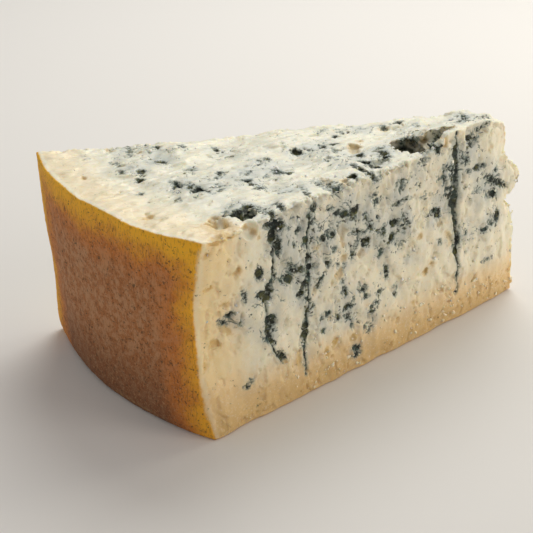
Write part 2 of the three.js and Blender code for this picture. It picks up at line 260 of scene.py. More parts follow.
# The stage. Each light has its place, its width and its colour.
FLOOR_SIZE = 6
FLOOR_DROP = 0.2 * MM
MIDDLE = (0, 0, 35 * MM)
LIGHTS = {
    "key": ((0.36, 0.44, 0.76), 0.62, (1, 1, 0.98)),
    "fill": ((0.60, -0.68, 0.42), 0.45, (1, 0.97, 0.93)),
    "rim": ((0.65, 0.05, 0.20), 0.3, (1, 0.93, 0.82)),
}
CAMERA_PLACE = (-0.19956, -0.39800, 0.25947)
CAMERA_PITCH = math.radians(62.608)
CAMERA_TURN = math.radians(-24.5)
CAMERA_ROLL = math.radians(-2.166)
SENSOR_WIDTH = 36


# ---- settings


def srgb(red, green, blue):
    """A display colour, from 0 to 255, as scene-linear numbers."""
    out = []
    for level in (red, green, blue):
        share = level / 255
        out.append(share / 12.92 if share <= 0.04045 else ((share + 0.055) / 1.055) ** 2.4)
    return tuple(out)


def tint(name, what, *levels):
    """The colour of what the words name, as three levels from 0 to 255."""
    return FloatVectorProperty(
        name=name, description="Colour of " + what, default=srgb(*levels), min=0, max=1, subtype="COLOR"
    )


def distance(name, description, default, least):
    return FloatProperty(name=name, description=description, default=default, min=least, unit="LENGTH")


def watts(name, description, default):
    return FloatProperty(name=name, description=description, default=default, min=0, unit="POWER")


class PasteSettings(bpy.types.PropertyGroup):
    """The ripened paste and its mould."""

    cream: tint("Cream", "the fresh cut paste", 241, 236, 212)
    straw: tint("Straw", "the drier paste by the rind and the base", 255, 219, 160)
    tan: tint("Tan", "the lowest paste", 216, 180, 118)
    # This colour also tints every recess by its depth, as painted shade.
    oiled_and_recess_shade: tint("Oiled", "pits that hold oil", 206, 164, 62)
    haze: tint("Haze", "young mould in the paste", 160, 173, 177)
    fringe: tint("Fringe", "the paste beside ripe mould", 124, 138, 130)
    mould: tint("Mould", "ripe mould", 72, 94, 84)
    olive: tint("Olive", "ripe mould that has been smeared", 110, 108, 48)
    # This near black is also painted deep in openings, as painted shade.
    old_mould_and_recess_shade: tint("Old mould", "the oldest mould", 18, 21, 14)
    voxel: distance("Grain", "Size of the smallest modelled relief", 0.46 * MM, 0.3 * MM)
    most_faces: IntProperty(
        name="Most faces", description="Triangles that the wedge may have", default=192000, min=1000
    )


class RindSettings(bpy.types.PropertyGroup):
    """The natural rind."""

    brown: tint("Brown", "the rind's wall", 172, 104, 52)
    gold: tint("Gold", "the rind beside a cut", 255, 188, 44)
    bloom: tint("Bloom", "the dusty bloom on the rind", 198, 150, 108)
    rust: tint("Rust", "the rind between the gold and the brown", 212, 122, 40)
    foot: tint("Foot", "the rind near the base", 106, 62, 34)
    speck: tint("Speck", "the rind's dark specks", 78, 66, 42)
    thickness: distance("Thickness", "Depth of the rind where it shows at a cut", 0.9 * MM, 0.1 * MM)


class CrumbSettings(bpy.types.PropertyGroup):
    """Crumbs of paste that cling to the cut faces."""

    count: IntProperty(name="Count", description="How many crumbs cling to the wedge", default=520, min=0)
    size: distance("Size", "Width of a usual crumb", 0.75 * MM, 0.2 * MM)


class StageSettings(bpy.types.PropertyGroup):
    """The floor, lights and camera."""

    floor: tint("Floor", "the plain floor", 226, 222, 216)
    key_power: watts("Key", "Power of the key light", 4.9)
    fill_power: watts("Fill", "Power of the fill light", 1.95)
    rim_power: watts("Rim", "Power of the low light behind", 1.2)
    sky: FloatProperty(name="Sky", description="Strength of the surrounding light", default=0.42, min=0)
    lens: FloatProperty(
        name="Lens", description="Focal length of the camera", default=89.27, min=1, unit="CAMERA"
    )


# ---- helpers


def deselect_all():
    if bpy.context.object and bpy.context.object.mode != "OBJECT":
        bpy.ops.object.mode_set(mode="OBJECT")
    bpy.ops.object.select_all(action="DESELECT")


def pick(piece):
    """Makes piece the only selected object, and the active one."""
    deselect_all()
    piece.select_set(True)
    bpy.context.view_layer.objects.active = piece


def change(piece, kind, **settings):
    """Gives piece one modifier with these settings, and applies it."""
    modifier = piece.modifiers.new(kind.lower(), kind)
    for key, value in settings.items():
        setattr(modifier, key, value)
    pick(piece)
    bpy.ops.object.modifier_apply(modifier=modifier.name)


def new_piece(name, mesh):
    piece = bpy.data.objects.new(name, mesh)
    bpy.context.scene.collection.objects.link(piece)
    return piece


def read_vectors(items, key):
    out = np.zeros(len(items) * 3, np.float32)
    items.foreach_get(key, out)
    return out.reshape(-1, 3)


def places(mesh):
    return read_vectors(mesh.vertices, "co").astype(float)


def smooth_step(values, low, high):
    share = np.clip((np.asarray(values) - low) / (high - low), 0, 1)
    return share * share * (3 - 2 * share)


class Net:
    """Adds nodes to a tree, one call each, and hands back their outputs."""

    def __init__(self, tree):
        self.tree = tree

    def node(self, kind, feeds=None, output=0, **settings):
        made = self.tree.nodes.new(kind)
        for key, value in settings.items():
            setattr(made, key, value)
        self.fill(made, feeds or {})
        return made.outputs[output]

    def fill(self, node, feeds):
        for key, value in feeds.items():
            self.feed(node.inputs[key], value)

    def feed(self, socket, value):
        if isinstance(value, bpy.types.NodeSocket):
            self.tree.links.new(value, socket)
        elif socket.type == "RGBA" and len(value) == 3:
            socket.default_value = (*value, 1)
        else:
            socket.default_value = value

    def math(self, operation, *values):
        return self.node("ShaderNodeMath", dict(enumerate(values)), operation=operation)

    def minus(self, first, second):
        return self.math("SUBTRACT", first, second)

    def times(self, first, second):
        return self.math("MULTIPLY", first, second)

    def times_plus(self, value, factor, shift):
        return self.math("MULTIPLY_ADD", value, factor, shift)

    def larger(self, first, second):
        return self.math("MAXIMUM", first, second)

    def scaled(self, vector, factors):
        return self.node("ShaderNodeVectorMath", {0: vector, 1: factors}, operation="MULTIPLY")

    def step(self, value, low, high, start=0, end=1):
        """start below low, end above high, and a smooth slope between."""
        feeds = {0: value, 1: low, 2: high, 3: start, 4: end}
        return self.node("ShaderNodeMapRange", feeds, interpolation_type="SMOOTHSTEP")

    def noise(self, place, size, detail, roughness, distortion=0):
        """Noise with lumps of this size, in millimetres."""
        feeds = {"Vector": place, "Scale": 1 / (size * MM), "Detail": detail, "Roughness": roughness}
        return self.node("ShaderNodeTexNoise", {**feeds, "Distortion": distortion})

    def blend(self, share, first, second):
        return self.node("ShaderNodeMix", {0: share, 6: first, 7: second}, 2, data_type="RGBA")

    def layers(self, colour, *layers):
        """The colour, covered by each layer in turn as far as that layer's share."""
        for share, above in layers:
            colour = self.blend(share, colour, above)
        return colour


# ---- patterns shared by relief and colour


def mould_pattern(net, at):
    """Dark mould, its fringe, its haze and thin veins, each from 0 to 1, from the fields that at holds."""
    ragged = net.noise(at.place, 1.3, 4, 0.62)
    coarse = net.noise(at.place, 3.6, 3, 0.6)
    unrest = net.times_plus(ragged, 2.6, net.times_plus(coarse, 1.3, -1.95))
    value = net.math("ADD", at.spot, unrest)
    dark = net.step(value, 0.36, 0.86)
    fringe = net.times(net.step(value, 0, 0.55), net.step(at.spot, 0.02, 0.3))
    islands = net.noise(at.place, 2.4, 4, 0.62)
    bar = net.times_plus(at.mould, -0.18, 0.73)
    flecks = net.step(net.minus(islands, bar), -0.01, 0.05)
    line = net.step(net.times_plus(unrest, -0.8, at.track), 0.5, 1.4, 1, 0)
    line = net.times(line, net.step(coarse, 0.32, 0.44, 0.4, 1))
    dark = net.larger(dark, net.larger(net.times(flecks, 0.9), line))
    cloud = net.noise(at.place, 5.5, 4, 0.6)
    haze = net.step(net.times_plus(cloud, 1.4, at.mould), 0.75, 1.75)
    beside = net.step(net.times_plus(unrest, -1.5, at.track), 0.6, 4, 0.85, 0)
    fringe = net.larger(fringe, beside)
    winding = net.noise(net.scaled(at.place, (0.6, 1, 0.8)), 6.5, 3, 0.6, 0.6)
    crease = net.math("ABSOLUTE", net.minus(winding, 0.5))
    thick = net.step(net.times_plus(ragged, 0.5, at.mould), 0.45, 1.1, 0.001, 0.022)
    veins = net.step(net.math("DIVIDE", crease, thick), 0.5, 1.3, 1, 0)
    veins = net.times(veins, net.step(coarse, 0.46, 0.58))
    veins = net.times(veins, net.step(at.mould, 0.12, 0.5))
    return dark, fringe, haze, veins


# ---- the cut faces and their marks

Mark = namedtuple("Mark", "along up width tall lean strength", defaults=(0, 1))
UP = Vector((0, 0, 1))


def spot_mark(along, up, width, tall, ripe=100, lean=0):
    return Mark(along, up, width, tall, lean, ripe / 100)


class Face:
    """A cut face: a corner of it, the directions along and up it, and the way out of the paste."""

    def __init__(self, corner, along, up):
        self.corner = Vector(corner)
        self.along = Vector(along)
        self.rise = Vector(up)
        self.out = self.along.cross(self.rise)
        self.spots, self.pits, self.haze, self.tracks = [], [], [], []
        self.level = self.out.z > 0.5

    def place(self, along, up, out):
        shift = self.along * float(along) + self.rise * float(up) + self.out * float(out)
        return self.corner + shift * MM

    def read(self, points):
        """How far along, how far up and how far out each point is, in millimetres."""
        away = (points - np.array(self.corner)) / MM
        return away @ np.array(self.along), away @ np.array(self.rise), away @ np.array(self.out)

    def axes(self, lean):
        """The turn that lays a blob's width and height in the face, leaning by some degrees."""
        turn = Matrix.Rotation(math.radians(lean), 3, "Z")
        return Matrix((self.along, self.rise, self.out)).transposed() @ turn


def oval(marks, along, up):
    """For each point the strongest mark there: full inside a mark, and nothing a little way outside it."""
    best = np.zeros(len(along))
    for mark in marks:
        lean = math.radians(mark.lean)
        right, rise = along - mark.along, up - mark.up
        wide = (right * math.cos(lean) + rise * math.sin(lean)) / (mark.width / 2)
        high = (rise * math.cos(lean) - right * math.sin(lean)) / (mark.tall / 2)
        outside = (np.hypot(wide, high) - 1) * min(mark.width, mark.tall) / 2
        best = np.maximum(best, mark.strength * np.clip(0.72 - 0.6 * outside, 0, 1))
    return best


def haze_amount(face, along, up):
    clear = np.ones(len(along))
    for middle, height, spread, strength in face.haze:
        away = np.hypot(along - middle, up - height) / spread
        clear *= 1 - min(strength, 0.95) * np.exp(-(away**2))
    for mark in face.spots:
        away = np.hypot(along - mark.along, up - mark.up) / (2.2 + (mark.width + mark.tall) / 3)
        clear *= 1 - 0.45 * mark.strength * np.exp(-(away**2))
    return 1 - clear


def track_distance(face, along, up):
    """How many half-widths each point is from the nearest needle track."""
    best = np.full(len(along), FAR_AWAY)
    points = np.stack([along, up], 1)
    for half_width, line in face.tracks:
        for start, end in zip(line[:-1], line[1:]):
            run = np.subtract(end, start)
            share = np.clip((points - start) @ run / (run @ run), 0, 1)
            away = np.linalg.norm(points - start - share[:, None] * run, axis=1)
            best = np.minimum(best, away / half_width)
    return best


def random_marks(rng, count, clusters, length, low, high):
    """Spots that gather round chance centres, as mould does."""
    centres = np.stack([rng.uniform(18, length - 6, clusters), rng.uniform(low, high, clusters)], 1)
    marks = []
    while len(marks) < count:
        along, up = rng.normal(centres[rng.integers(clusters)], CLUSTER_SPREAD)
        if RIND_MARGIN < along < length and low < up < 76:
            width, tall = rng.uniform(1.1, 3.4, 2)
            marks.append(Mark(along, up, width, tall * 1.15, rng.uniform(-45, 45), rng.uniform(0.6, 1.0)))
    return marks, [(along, up, rng.uniform(4, 8), rng.uniform(0.4, 0.85)) for along, up in centres]


def random_pit(rng):
    """A pit somewhere on the far face."""
    along, up = rng.uniform(8, FAR_LENGTH - 4), rng.uniform(8, 70)
    return Mark(along, up, *rng.uniform(2, 4.5, 2), rng.uniform(-40, 40))


def cut_faces(rng):
    """The near, top, far and tip faces with everything that marks them."""
    near = Face(NEAR_CORNER, ALONG_NEAR, UP)
    near.spots = [spot_mark(*spot) for spot in NEAR_SPOTS]
    near.pits = [Mark(*pit) for pit in NEAR_PITS]
    near.haze = NEAR_HAZE
    near.tracks = NEAR_TRACKS

    top = Face((0, 0, TOP), (1, 0, 0), (0, 1, 0))
    top.spots = [spot_mark(*spot) for spot in TOP_SPOTS]
    top.pits = [Mark(*pit) for pit in TOP_PITS]
    top.haze = TOP_HAZE

    far_end = FAR_CORNER + FAR_LENGTH * MM * ALONG_FAR
    far = Face(far_end, -ALONG_FAR, UP)
    far.spots, far.haze = random_marks(rng, FAR_SPOTS, FAR_CLUSTERS, FAR_LENGTH - 12, 14, 72)
    far.pits = [random_pit(rng) for _ in range(FAR_PITS)]
    for along in FAR_TRACKS_ALONG:
        heights = np.linspace(rng.uniform(56, 73), rng.uniform(12, 32), 6)
        line = [(along + rng.uniform(-0.9, 0.9), height) for height in heights]
        far.tracks.append((rng.uniform(0.3, 0.55), line))

    near_end = NEAR_CORNER + (NEAR_LENGTH - 3) * MM * ALONG_NEAR
    tip = Face(near_end, (far_end - near_end).normalized(), UP)
    tip.spots, tip.haze = random_marks(rng, TIP_SPOTS, TIP_CLUSTERS, 24, 20, 70)
    return near, top, far, tip


def rind_depth(points):
    """How far each point is beneath the rind's wall."""
    flat = points[:, :2] - np.array(WHEEL_CENTRE)[:2]
    angle = np.arctan2(flat[:, 1], flat[:, 0]) % (2 * math.pi)
    across = np.clip((angle - NEAR_ANGLE) / (FAR_ANGLE - NEAR_ANGLE), 0, 1)
    into_foot = np.clip(FOOT_RADIUS - points[:, 2], 0, FOOT_RADIUS)
    inset = FOOT_RADIUS - np.sqrt(np.maximum(FOOT_RADIUS**2 - into_foot**2, 0))
    wall = WHEEL_RADIUS - FAR_WALL_LEAN * across * (1 - points[:, 2] / TOP) - FOOT_SHARE * inset
    return wall - np.linalg.norm(flat, axis=1)


# ---- the openings


def blob_template(subdivisions):
    """A round blob, from which openings and crumbs are copied."""
    deselect_all()
    bpy.ops.mesh.primitive_ico_sphere_add(subdivisions=subdivisions, radius=0.5)
    blob = bpy.context.object
    points = places(blob.data)
    faces = np.array([tuple(face.vertices) for face in blob.data.polygons])
    bpy.data.objects.remove(blob)
    return points, faces


def uneven(points, seed, amount):
    """The blob's points pushed in and out, each seed its own way."""
    out = np.empty_like(points)
    shift = Vector((seed * 3.7, seed * 1.3, -seed * 2.1))
    for i, point in enumerate(points):
        place = Vector(point) * 3.4 + shift
        out[i] = point * (1 + amount * noise.noise(place) + 0.5 * amount * noise.noise(place * 2.6))
    return out


class Blobs:
    """Gathers uneven blobs into one mesh."""

    def __init__(self, subdivisions, amount):
        self.points, self.faces = blob_template(subdivisions)
        self.amount = amount
        self.vertices, self.polygons = [], []

    def add(self, place, size, turn):
        count = len(self.vertices)
        shaped = uneven(self.points, count, self.amount) * (np.array(size) * MM)
        self.vertices.append(shaped @ np.array(turn).T + np.array(place))
        self.polygons.append(self.faces + len(self.points) * count)

    def mesh(self, name):
        mesh = bpy.data.meshes.new(name)
        mesh.from_pydata(np.concatenate(self.vertices).tolist(), [], np.concatenate(self.polygons).tolist())
        mesh.update()
        return mesh


class Cutter:
    """Places the blobs that open the wedge. Depths and sizes are in millimetres."""

    def __init__(self, rng, skin):
        self.rng = rng
        self.skin = skin
        self.blobs = Blobs(subdivisions=3, amount=0.75)

    def cut(self, face, mark, deep):
        """One hollow where the mark meets the skin."""
        start = face.place(mark.along, mark.up, RAY_START)
        hit = self.skin.ray_cast(start, -face.out, 2 * RAY_START * MM)[0]
        if hit is not None and rind_depth(np.array([hit]))[0] > LEAST_COVER and hit.z > LEAST_HEIGHT:
            self.blobs.add(hit, (mark.width, mark.tall, 2 * deep), face.axes(mark.lean))

    def hollows(self, face, mark):
        """Several small hollows in one spot of mould."""
        rng = self.rng
        usual = min(0.3 + 0.45 * min(mark.width, mark.tall), 2.4)
        for _ in range(max(1, round(mark.width * mark.tall / 3))):
            along = mark.along + rng.uniform(-0.3, 0.3) * mark.width
            up = mark.up + rng.uniform(-0.3, 0.3) * mark.tall
            width, tall = np.array([mark.width, mark.tall]) * rng.uniform(0.4, 0.75, 2)
            lean = mark.lean + rng.uniform(-25, 25)
            self.cut(face, Mark(along, up, width, tall, lean), usual * rng.uniform(0.7, 1.2))

    def track(self, face, half_width, line):
        """A needle track, as short slots one below the other."""
        rng = self.rng
        for (along, up), (next_along, next_up) in zip(line[:-1], line[1:]):
            steps = max(2, int(abs(next_up - up) / 1.3))
            for share in np.arange(steps) / steps:
                middle = (along + share * (next_along - along), up + share * (next_up - up))
                width = 2 * half_width * rng.uniform(0.7, 1.2)
                self.cut(face, Mark(*middle, width, 2.4), rng.uniform(0.5, 1.1) * (0.4 + half_width))

    def small_side_pits(self, face, length):
        rng = self.rng
        for _ in range(SMALL_SIDE_PITS):
            width = rng.uniform(0.8, 2.2)
            along, up = rng.uniform(6, length), rng.uniform(8, 73)
            tall = width * rng.uniform(0.8, 2.4)
            self.cut(face, Mark(along, up, width, tall, rng.uniform(-30, 30)), 0.5 * width)

    def small_top_pits(self, face):
        rng = self.rng
        for _ in range(SMALL_TOP_PITS):
            width = rng.uniform(0.9, 2.4)
            along, up = rng.uniform(-76, 78), rng.uniform(-44, 44)
            long = width * rng.uniform(1, 2)
            self.cut(face, Mark(along, up, long, width, rng.uniform(-30, 30)), 0.45 * width)


def openings_mesh(rng, faces, skin):
    """All pits, mouldy hollows and needle tracks, to cut away."""
    cutter = Cutter(rng, skin)
    for face in faces:
        for mark in face.spots:
            if mark.strength >= HOLLOW_STRENGTH:
                cutter.hollows(face, mark)
        for mark in face.pits:
            cutter.cut(face, mark, min(0.3 + 0.28 * min(mark.width, mark.tall), 1.3))
        for half_width, line in face.tracks:
            cutter.track(face, half_width, line)
    near, top, far, _tip = faces
    cutter.small_side_pits(near, NEAR_LENGTH - 6)
    cutter.small_side_pits(far, FAR_LENGTH - 6)
    cutter.small_top_pits(top)
    return cutter.blobs.mesh("openings")


# ---- the wedge


def set_mode(mode):
    bpy.ops.object.mode_set(mode=mode)


def merged_copy(name):
    """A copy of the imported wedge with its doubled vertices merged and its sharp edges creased."""
    piece = new_piece(name, frame["nodes"][NODE].data.copy())
    piece.data.materials.clear()
    pick(piece)
    set_mode("EDIT")
    edit = bpy.ops.mesh
    edit.select_all(action="SELECT")
    edit.remove_doubles(threshold=MERGE_GAP)
    edit.select_all(action="DESELECT")
    edit.select_mode(type="EDGE")
    edit.edges_select_sharp(sharpness=SHARP_ANGLE)
    bpy.ops.transform.edge_crease(value=SHARP_CREASE)
    set_mode("OBJECT")
    return piece


def mend(piece):
    """Takes off stray faces and loose bits, and closes the small holes that they leave."""
    pick(piece)
    set_mode("EDIT")
    edit = bpy.ops.mesh
    edit.select_mode(type="VERT")
    edit.select_all(action="SELECT")
    edit.remove_doubles(threshold=MEND_GAP)
    edit.quads_convert_to_tris()
    edit.select_all(action="DESELECT")
    edit.select_non_manifold()
    edit.delete(type="VERT")
    edit.select_non_manifold()
    edit.fill_holes(sides=0)
    edit.quads_convert_to_tris()
    edit.select_all(action="DESELECT")
    set_mode("OBJECT")
    outermost = int(np.argmin(places(piece.data)[:, 0]))
    piece.data.vertices[outermost].select = True
    set_mode("EDIT")
    edit.select_linked()
    edit.select_all(action="INVERT")
    edit.delete(type="VERT")
    set_mode("OBJECT")


def relief_height(net, at):
    """How far the skin moves out: lumps, torn lips, smears, mould and the rind's grain."""

    def swing(stretch, size, detail=3, roughness=0.55, distortion=0):
        """Noise about zero, stretched along an axis where stretch is below 1."""
        field = net.noise(net.scaled(at.place, stretch), size, detail, roughness, distortion)
        return net.minus(field, 0.5)

    def total(*terms):
        """The sum of each field times its height, in millimetres."""
        out = 0
        for field, height in terms:
            out = net.times_plus(field, height * MM, out)
        return out

    even = (1, 1, 1)
    dark, _fringe, _haze, veins = mould_pattern(net, at)
    torn = net.step(swing((1, 1, 0.62), 7, 4, 0.6), 0.03, 0.09)
    lumps = swing((1, 1, 0.5), 7, 2, 0.5)
    side = total((lumps, 3), (swing((1, 1, 0.3), 2.8), 0.2), (torn, -0.9), (swing(even, 3), 0.6))
    flaky = net.step(swing((0.4, 1, 1), 6, 3, 0.6), 0, 0.09)
    smear = swing((0.15, 1, 1), 2.0, 2, 0.5, 0.4)
    waves = swing((0.45, 1, 1), 8, 2)
    above = total((waves, 2.4), (smear, 0.7), (flaky, 0.55), (swing((0.7, 1, 1), 2.8, 3), 0.8))
    both = total((swing(even, 1.2, 2), 0.2), (dark, -0.45), (veins, -0.35))
    lips = total((net.step(swing(even, 4, 4, 0.62), -0.05, 0.03), 1.5), (swing(even, 1.8), 1.2))
    ragged = total((swing(even, 7, 2, 0.5), 5), (swing(even, 2.4, 2), 1))
    cut = net.times_plus(above, at.level, net.times(side, net.minus(1, at.level)))
    cut = net.math("ADD", cut, both)
    cut = net.times_plus(net.minus(lips, 1.1 * MM), at.edge, cut)
    cut = net.times_plus(ragged, at.tip, cut)
    cut = net.times(cut, net.step(at.cave, 0.3 * MM, 1.2 * MM, 1, 0.5))
    cut = net.times(cut, net.step(at.skin, 0.5 * MM, 5 * MM, 0.3))
    grain = swing((1, 1, 0.7), 1.1)
    rind = total((grain, 0.3), (swing(even, 9), 0.6), (swing((1, 1, 0.25), 0.9), 0.2))
    paste = net.step(at.skin, 0.2 * MM, 1.2 * MM)
    height = net.times_plus(net.minus(cut, rind), paste, rind)
    return net.times(height, at.base)


def relief_tree():
    """Geometry nodes that move the skin in and out, and keep where each vertex was."""
    tree = bpy.data.node_groups.new("cheese_relief", "GeometryNodeTree")
    tree.interface.new_socket("Geometry", in_out="INPUT", socket_type="NodeSocketGeometry")
    tree.interface.new_socket("Geometry", in_out="OUTPUT", socket_type="NodeSocketGeometry")
    net = Net(tree)
    at = SimpleNamespace(place=net.node("GeometryNodeInputPosition"))
    for name in ("mould", "spot", "track", "skin", "edge", "level", "base", "cave", "tip"):
        mark = net.node("GeometryNodeInputNamedAttribute", {"Name": name}, data_type="FLOAT")
        setattr(at, name, mark)
    feeds = {0: net.node("GeometryNodeInputNormal"), "Scale": relief_height(net, at)}
    offset = net.node("ShaderNodeVectorMath", feeds, operation="SCALE")
    feeds = {"Geometry": net.node("NodeGroupInput"), "Name": "rest", "Value": at.place}
    kept = net.node("GeometryNodeStoreNamedAttribute", feeds, data_type="FLOAT_VECTOR")
    moved = net.node("GeometryNodeSetPosition", {"Geometry": kept, "Offset": offset})
    net.feed(tree.nodes.new("NodeGroupOutput").inputs[0], moved)
    return tree


def face_fields(points, faces, level):
    """Spot, mould, oil and track at each point, from the marks of the faces that it is near."""
    fields = {name: np.zeros(len(points)) for name in ("spot", "mould", "oil")}
    fields["track"] = np.full(len(points), FAR_AWAY)
    near, _top, far, _tip = faces
    inset = np.minimum(-near.read(points)[2], -far.read(points)[2]) * MM
    for face in faces:
        along, up, out = face.read(points)
        chosen = np.nonzero(np.abs(out * MM) < REACH)[0]
        share = smooth_step(np.abs(out[chosen] * MM), REACH, 0.6 * REACH)
        if face.level:
            share *= np.maximum(level[chosen], smooth_step(inset[chosen], 1 * MM, 3 * MM))
        along, up = along[chosen], up[chosen]
        for name, values in (
            ("spot", oval(face.spots, along, up)),
            ("oil", oval(face.pits, along, up)),
            ("mould", haze_amount(face, along, up)),
        ):
            fields[name][chosen] = np.maximum(fields[name][chosen], values * share)
        away = track_distance(face, along, up) + 20 * (1 - share)
        fields["track"][chosen] = np.minimum(fields["track"][chosen], away)
    return fields


def mark_places(mesh, faces, skin):
    """Writes what each vertex needs to know: its mould, its depth, and how near it is to an edge."""
    points = places(mesh)
    level = smooth_step(read_vectors(mesh.vertex_normals, "vector")[:, 2], 0.35, 0.8)
    fields = face_fields(points, faces, level)
    near, top, far, _tip = (-face.read(points)[2] * MM for face in faces)
    depth = rind_depth(points)
    inner = smooth_step(depth, 16 * MM, 32 * MM) * smooth_step(points[:, 2], 16 * MM, 34 * MM)
    fields["mould"] = 1 - (1 - fields["mould"]) * (1 - 0.18 * inner)
    fields["skin"] = np.where(points[:, 2] < 0.6 * MM, 0.0, depth)
    ordered = np.sort(np.abs(np.stack([top, near, far, depth])), axis=0)
    sharp = np.where(np.abs(near) < np.abs(far), 1.0, 0.45) * smooth_step(depth, 2 * MM, 7 * MM)
    fields["edge"] = (1 - smooth_step(ordered[1], 0.4 * MM, 3.4 * MM)) * sharp
    fields["level"] = level
    fields["base"] = smooth_step(points[:, 2], 0.2 * MM, 1.6 * MM)
    fields["tip"] = smooth_step(depth, 148 * MM, 162 * MM)
    fields["rim"] = np.minimum(np.minimum(np.abs(near), np.abs(far)), np.abs(top))
    fields["cave"] = np.array([skin.find_nearest(place)[3] for place in points])
    for name, values in fields.items():
        made = mesh.attributes.new(name, "FLOAT", "POINT")
        made.data.foreach_set("value", np.asarray(values, np.float32))


def make_wedge():
    settings = bpy.context.scene.cheese_paste
    rng = np.random.default_rng(MARKS_SEED)
    faces = cut_faces(rng)
    piece = merged_copy("wedge")
    change(piece, "SUBSURF", levels=1, render_levels=1)
    skin = BVHTree.FromObject(piece, bpy.context.evaluated_depsgraph_get())

    openings = new_piece("openings", openings_mesh(rng, faces, skin))
    change(openings, "REMESH", mode="VOXEL", voxel_size=OPENINGS_VOXEL)
    change(piece, "BOOLEAN", operation="DIFFERENCE", solver="MANIFOLD", object=openings)
    bpy.data.objects.remove(openings)

    change(piece, "REMESH", mode="VOXEL", voxel_size=settings.voxel)
    mark_places(piece.data, faces, skin)
    change(piece, "NODES", node_group=relief_tree())
    triangles = sum(len(face.vertices) - 2 for face in piece.data.polygons)
    if triangles > settings.most_faces:
        change(piece, "DECIMATE", ratio=settings.most_faces / triangles, use_collapse_triangulate=True)
    points = places(piece.data)
    points[:, 2] = np.maximum(points[:, 2], 0)
    piece.data.vertices.foreach_set("co", points.astype(np.float32).ravel())
    piece.data.update()
    mend(piece)
    bpy.ops.object.shade_smooth()
    piece.data.materials.clear()
    piece.data.materials.append(cheese_material())
    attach(piece, "root")
    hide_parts(NODE)


# ---- the material of the cheese


def new_material(name):
    """A material, its shader, and the net of its nodes."""
    material = bpy.data.materials.new(name)
    material.use_nodes = True
    tree = material.node_tree
    return material, tree.nodes["Principled BSDF"], Net(tree)


def read_marks(net):
    """The marks on the mesh, and what paste and rind both take from them."""
    at = SimpleNamespace(place=net.node("ShaderNodeAttribute", None, "Vector", attribute_name="rest"))
    for name in ("mould", "skin", "cave", "track", "spot", "oil", "rim", "level"):
        setattr(at, name, net.node("ShaderNodeAttribute", None, "Fac", attribute_name=name))
    at.height = net.node("ShaderNodeSeparateXYZ", {0: at.place}, 2)
    at.patch = net.noise(at.place, 11, 4, 0.6)
    at.mottle = net.noise(at.place, 2.2, 4, 0.65)
    # How far into an opening a point lies, used for painted shade in recesses.
    at.in_cave = net.step(at.cave, 0.25 * MM, 1.1 * MM)
    return at


def paste_colour(net, at, paste):
    """Cream inside, straw by the rind and tan towards the base, with pits darkened by oil, painted shade in
    every recess and a painted glow at the thin tip.
    """
    by_rind = net.step(net.times_plus(at.patch, -16 * MM, at.skin), -2 * MM, 16 * MM, 1, 0)
    by_base = net.step(net.times_plus(at.patch, -16 * MM, at.height), -6 * MM, 22 * MM, 1, 0)
    warm = net.times(net.larger(by_rind, by_base), net.step(at.level, 0, 1, 0.9, 0.4))
    warm = net.larger(warm, net.times(at.patch, net.step(at.level, 0, 1, 0.35, 0)))
    low = net.times_plus(at.skin, 0.03, at.height)
    fine = net.noise(at.place, 0.7, 3, 0.6)
    oil_and_recess_shade = net.step(net.times_plus(at.mottle, 2.2, at.oil), 1.3, 2.1, 0, 0.52)
    # Besides the oil in the pits, every opening is tinted by its depth: painted shade.
    oil_and_recess_shade = net.larger(oil_and_recess_shade, net.times(at.in_cave, 0.22))
    # The thin tip is painted straw: a painted glow where light shines through it.
    painted_tip_glow = net.step(net.times_plus(at.patch, 12 * MM, at.skin), 152 * MM, 162 * MM, 0, 0.5)
    under_rind = net.step(at.skin, 1.8 * MM, 2.8 * MM, 0.4, 0)
    pale = net.times(net.step(at.skin, 0.9 * MM, 1.5 * MM), under_rind)
    pale = net.times(pale, net.step(at.level, 0, 1, 0.4, 1))
    return net.layers(
        paste.cream,
        (warm, paste.straw),
        (net.step(low, 2 * MM, 27 * MM, 0.95, 0), paste.tan),
        (net.step(at.mottle, 0.5, 0.72, 0, 0.3), paste.straw),
        (net.step(fine, 0.52, 0.7, 0, 0.2), FINE_GRAIN),
        (oil_and_recess_shade, paste.oiled_and_recess_shade),
        (painted_tip_glow, paste.straw),
        (pale, PASTE_BY_RIND),
    )


def add_mould(net, at, paste, colour):
    """The colour under its mould, from haze to near black, and how dark the mould is. Deep in the openings
    the mould is darker and blacker, partly as painted shade.
    """
    dark, fringe, haze, veins = mould_pattern(net, at)
    # Dark mould in the deep hollows, darker the deeper: partly real mould, partly painted shade.
    hollow_mould_and_shade = net.times(net.step(at.cave, 1.5 * MM, 4 * MM), net.step(at.spot, -0.2, 0.3))
    dark = net.larger(dark, hollow_mould_and_shade)
    hue = net.times_plus(at.level, 0.1, net.noise(at.place, 4, 3, 0.6))
    oldest_and_recess_shade = net.step(net.noise(at.place, 1.6, 4, 0.6), 0.36, 0.54)
    # Openings make the mould near black: painted shade in recesses.
    oldest_and_recess_shade = net.larger(net.times(at.in_cave, 0.6), oldest_and_recess_shade)
    ripe = net.blend(net.step(hue, 0.44, 0.62), paste.mould, paste.olive)
    ripe = net.blend(net.times(oldest_and_recess_shade, 0.92), ripe, paste.old_mould_and_recess_shade)
    colour = net.layers(
        colour,
        (net.times(haze, 0.55), paste.haze),
        (net.times(fringe, 0.66), paste.fringe),
        (net.times(veins, 0.75), paste.mould),
        (net.times(dark, 0.97), ripe),
    )
    return colour, dark


